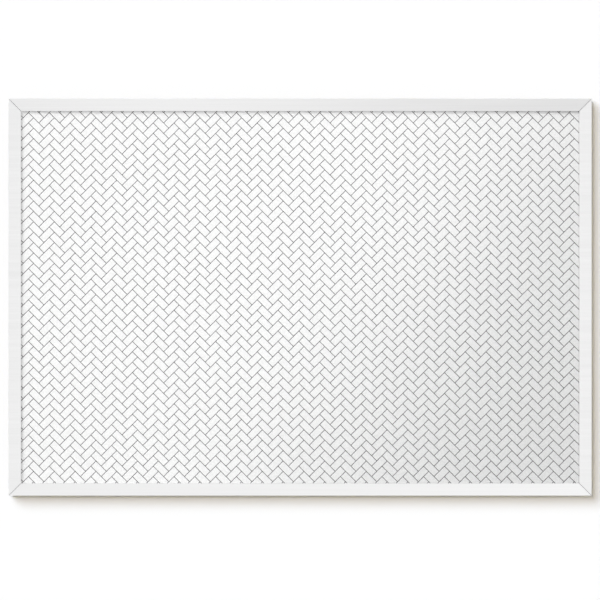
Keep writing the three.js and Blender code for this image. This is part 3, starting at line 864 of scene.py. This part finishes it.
# %% [markdown]
# ## Camera
# The board is seen square on, from about 4 m, in a square picture 645 mm wide at the board's face.
# A lens of 223 mm on a 36 mm sensor gives that view, with hardly any perspective, so the frame's
# sides don't show.

# %% Place the camera
VIEW_DISTANCE = 4.0
VIEW_WIDTH = 0.6448
AIM = Vector((-0.00016, FACE_Y, -0.2053))
camera_data = bpy.data.cameras.new("camera")
camera_data.sensor_width = 36
camera_data.lens = camera_data.sensor_width * VIEW_DISTANCE / VIEW_WIDTH
camera_data.clip_end = 50
camera = bpy.data.objects.new("camera", camera_data)
camera.location = AIM + Vector((0, -VIEW_DISTANCE, 0))
camera.rotation_euler = (QUARTER_TURN, 0, 0)
scene.collection.objects.link(camera)
scene.camera = camera
print("lens", round(camera_data.lens, 1), "mm at", VIEW_DISTANCE, "m")

# %% [markdown]
# ## The wall
# The board hangs on a plain white wall, over a pale floor. Both are stage, not part of the object.
# The wall shows from the front only: from behind it is see-through, so that the back of the board
# can be looked at. It takes no part in the board's own light: it throws no light and no reflection
# on it, which keeps both easy to set.

# %% Build the wall
STAGE_HALF = 1.7
FLOOR_Z = -0.75
WALL_TOP = 1.3


def stage_plane(name, corners, finish):
    """A flat piece of scenery."""
    mesh = bpy.data.meshes.new(name)
    mesh.from_pydata(corners, [], [(0, 1, 2, 3)])
    mesh.materials.append(finish)
    plane = bpy.data.objects.new(name, mesh)
    scene.collection.objects.link(plane)
    return plane


wall_paint, tree, shader, place = start_finish("white wall paint", "#f3f3f3", 0.0, 1.0)
shader.inputs["Specular IOR Level"].default_value = 0.0
facing = add_node(tree, "ShaderNodeNewGeometry")
unseen = add_node(tree, "ShaderNodeBsdfTransparent")
one_sided = add_node(tree, "ShaderNodeMixShader", {
    0: facing.outputs["Backfacing"], 1: shader.outputs[0], 2: unseen.outputs[0]})
tree.links.new(one_sided.outputs[0], tree.nodes["Material Output"].inputs["Surface"])
wall = stage_plane("wall", [
    (-STAGE_HALF, 0, FLOOR_Z), (STAGE_HALF, 0, FLOOR_Z), (STAGE_HALF, 0, WALL_TOP),
    (-STAGE_HALF, 0, WALL_TOP)], wall_paint)
wall.visible_diffuse = False
wall.visible_glossy = False
wall.visible_transmission = False
wall.visible_shadow = False
print("the", wall.name, "is", 2 * STAGE_HALF, "m wide")

# %% [markdown]
# ## The floor
# To the camera, four fifths of the floor is a plain glow just under full white, so that it meets
# the white world behind it without a line. The last fifth is its own lit surface, which keeps the
# object's shadow. Like the wall, it throws no light on the board.

# %% Build the floor
FLOOR_GLOW = 0.97
FLOOR_GLOW_SHARE = 0.8
pale_floor, tree, shader, place = start_finish("pale studio floor", "#f7f7f7", 0.0, 0.9)
ray = add_node(tree, "ShaderNodeLightPath")
glow = add_node(tree, "ShaderNodeEmission", {"Strength": FLOOR_GLOW})
seen_share = add_node(tree, "ShaderNodeMath", {
    0: ray.outputs["Is Camera Ray"], 1: FLOOR_GLOW_SHARE}, operation="MULTIPLY").outputs[0]
lit = add_node(tree, "ShaderNodeMixShader", {
    0: seen_share, 1: shader.outputs[0], 2: glow.outputs[0]})
tree.links.new(lit.outputs[0], tree.nodes["Material Output"].inputs["Surface"])
floor = stage_plane("floor", [
    (-STAGE_HALF, -STAGE_HALF, FLOOR_Z), (STAGE_HALF, -STAGE_HALF, FLOOR_Z),
    (STAGE_HALF, STAGE_HALF, FLOOR_Z), (-STAGE_HALF, STAGE_HALF, FLOOR_Z)], pale_floor)
floor.visible_diffuse = False
floor.visible_glossy = False
print("the", floor.name, "lies", round(-FLOOR_Z, 2), "m below the board's origin")

# %% [markdown]
# ## World
# The world is white where the camera sees it. Metal has to have something pale to reflect, so rays
# that come off a glossy surface see a pale world too. For diffuse light it is dim: it only lifts
# the shadows, and the lamps do the rest. A ray that has met a matt surface on its way counts as
# diffuse, so that the frame doesn't mirror a bright world onto the wall and the print beside it.

# %% Light the world
WORLD_GLOSSY = 0.86
WORLD_DIFFUSE = 0.13
world = bpy.data.worlds.new("studio")
world.use_nodes = True
scene.world = world
tree = world.node_tree
ray = add_node(tree, "ShaderNodeLightPath")
mirrored = add_node(tree, "ShaderNodeMath", {
    0: ray.outputs["Is Glossy Ray"], 1: ray.outputs["Is Transmission Ray"]},
    operation="MAXIMUM").outputs[0]
mirrored = add_node(tree, "ShaderNodeMath", {
    0: mirrored, 1: ray.outputs["Diffuse Depth"]}, operation="SUBTRACT", use_clamp=True).outputs[0]
level = add_node(tree, "ShaderNodeMath", {
    0: mirrored, 1: WORLD_GLOSSY - WORLD_DIFFUSE, 2: WORLD_DIFFUSE},
    operation="MULTIPLY_ADD").outputs[0]
level = add_node(tree, "ShaderNodeMath", {
    0: ray.outputs["Is Camera Ray"], 1: 1 - WORLD_DIFFUSE, 2: level},
    operation="MULTIPLY_ADD").outputs[0]
background = tree.nodes["Background"]
background.inputs["Color"].default_value = linear("#ffffff")
tree.links.new(level, background.inputs["Strength"])
print("world:", WORLD_GLOSSY, "for reflections and", WORLD_DIFFUSE, "for diffuse light")

# %% [markdown]
# ## Lamps
# A level is written as the share of white that a lamp gives a white surface facing the camera. For
# a sun of strength S that surface sends back S times the cosine of its angle, over pi. Light
# linking names what each lamp lights. The wall, the print and the frame have lamps of their own, so
# that the wall's shadow and each tone on the board can be matched one at a time. A sun lights from
# a direction, so its distance makes no difference, and only shows where it is.

# %% Light linking and suns
SUN_DISTANCE = 2


def receivers(name, objects, exclude=False):
    """A collection that names what a lamp lights, or what it leaves out."""
    collection = bpy.data.collections.new(name)
    for obj in objects:
        collection.objects.link(obj)
    if exclude:
        for member in collection.collection_objects:
            member.light_linking.link_state = "EXCLUDE"
    return collection


def sun(name, from_direction, radius_degrees, level, lit, colour="#ffffff"):
    """A sun seen in a direction, which gives a white surface facing the camera this level."""
    direction = Vector(from_direction).normalized()
    lamp = bpy.data.lights.new(name, "SUN")
    lamp.angle = math.radians(2 * radius_degrees)
    lamp.color = linear(colour)[:3]
    lamp.energy = math.pi * level / abs(direction.y)
    shining = bpy.data.objects.new(name, lamp)
    shining.rotation_euler = direction.to_track_quat("Z", "Y").to_euler()
    shining.location = direction * SUN_DISTANCE
    shining.light_linking.receiver_collection = lit
    scene.collection.objects.link(shining)
    return shining


print("helpers for lamps are ready")

# %% [markdown]
# ### The wall's lamps
# The soft shadow at the board's lower right is the print of two suns at its upper left, one small
# and near the view, one larger and further out, over an even warm fill that throws no shadow.

# %% Light the wall
WARM_WHITE = "#fff79c"
NEAR_WHITE = "#fff4f4"
SKY_WHITE = "#e7f1ff"
on_wall = receivers("lit wall", [wall])
sun("wall_near", (-0.11, -1, 0.10), 10, 0.403, on_wall, NEAR_WHITE)
sun("wall_far", (-0.55, -1, 0.50), 18, 0.593, on_wall, SKY_WHITE)
wall_fill = sun("wall_fill", (0, -1, 0), 10, 0.120, on_wall, WARM_WHITE)
wall_fill.data.use_shadow = False
print("the wall is lit by three suns of its own")

# %% [markdown]
# ### The board's lamps
# Two broad suns at the upper left light the board, and their soft shadow of the lip falls along the
# print's top and left edges. A third one fills the print from the right. The frame is left out: it
# is a metal and gets its tone from what it mirrors. Two more suns light the back. They stand well
# above the board, so that flat plated pieces don't mirror them to someone who looks from behind.

# %% Light the board
frame_members = [scene.objects[name + "_section"] for name, quarters, length, across in SIDES]
board_lit = receivers("all but wall and frame", frame_members + [wall], exclude=True)
print_lit = receivers("lit print", [
    scene.objects["herringbone_print"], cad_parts["printed_film"]])
sun("key_near", (-0.6, -1, 0.7), 19, 0.2105, board_lit)
sun("key_far", (-1.1, -1, 1.3), 27, 0.269, board_lit)
sun("print_fill", (0.3, -1, 0), 20, 0.2005, print_lit)
sun("back_near", (-0.5, 1, 0.7), 20, 0.35, board_lit)
sun("back_far", (0.9, 1, 1.1), 25, 0.3, board_lit)
print("the board is lit by five suns")

# %% [markdown]
# ### The print's spot
# The print gets darker towards its lower right. A very wide spot gives that slope: it is aimed far
# to the upper left, so that the soft edge of its cone lies across the lower right of the board. A
# spot of P watts gives a surface at distance d the level P over (2 pi d) squared.

# %% Light the print
SPOT_LEVEL = 0.2275
SPOT_DISTANCE = 2.5
SPOT_AIM_X = -6.182
SPOT_AIM_UP = 4.308
SPOT_HALF_ANGLE = 78.5
SPOT_SOFT_EDGE = 0.157
SPOT_RADIUS = 0.1
spot_data = bpy.data.lights.new("panel_spot", "SPOT")
spot_data.energy = SPOT_LEVEL * 4 * math.pi ** 2 * SPOT_DISTANCE ** 2
spot_data.spot_size = math.radians(2 * SPOT_HALF_ANGLE)
spot_data.spot_blend = SPOT_SOFT_EDGE
spot_data.shadow_soft_size = SPOT_RADIUS
spot = bpy.data.objects.new("panel_spot", spot_data)
spot.location = Vector((0, -SPOT_DISTANCE, MIDDLE_Z))
spot_aim = Vector((SPOT_AIM_X, 0, MIDDLE_Z + SPOT_AIM_UP))
spot.rotation_euler = (spot.location - spot_aim).to_track_quat("Z", "Y").to_euler()
spot.light_linking.receiver_collection = print_lit
scene.collection.objects.link(spot)
print("the spot has", round(spot_data.energy, 1), "W")

# %% [markdown]
# ### The frame's lamps
# The frame mirrors the pale world, which gives its four faces one tone. A weak sun from the front
# lifts the lower three. A lamp near the view then brightens the left part of the top rail, and one
# at the right brightens the bottom rail towards that side.

# %% Light the frame
GLINT_RADIUS = 0.15
FRAME_LAMPS = [
    ("top_glint", (-0.22, -2.4, 0.3), 2.3, "top_rail_section"),
    ("lower_glint", (1.0, -2.0, -0.4), 2.6, "bottom_rail_section"),
]
lower_lit = receivers("lit lower members", frame_members[1:])
sun("frame_front", (0.02, -1, -0.02), 10, 0.0152, lower_lit)
for name, offset, watts, member in FRAME_LAMPS:
    lamp = bpy.data.lights.new(name, "POINT")
    lamp.energy = watts
    lamp.shadow_soft_size = GLINT_RADIUS
    shining = bpy.data.objects.new(name, lamp)
    shining.location = Vector(offset) + Vector((0, 0, MIDDLE_Z))
    shining.light_linking.receiver_collection = receivers("lit by " + name, [scene.objects[member]])
    scene.collection.objects.link(shining)

# %% [markdown]
# ## The view
# The picture is taken with the Standard view, which leaves colours as they are.

# %% Set the view transform
scene.view_settings.view_transform = "Standard"
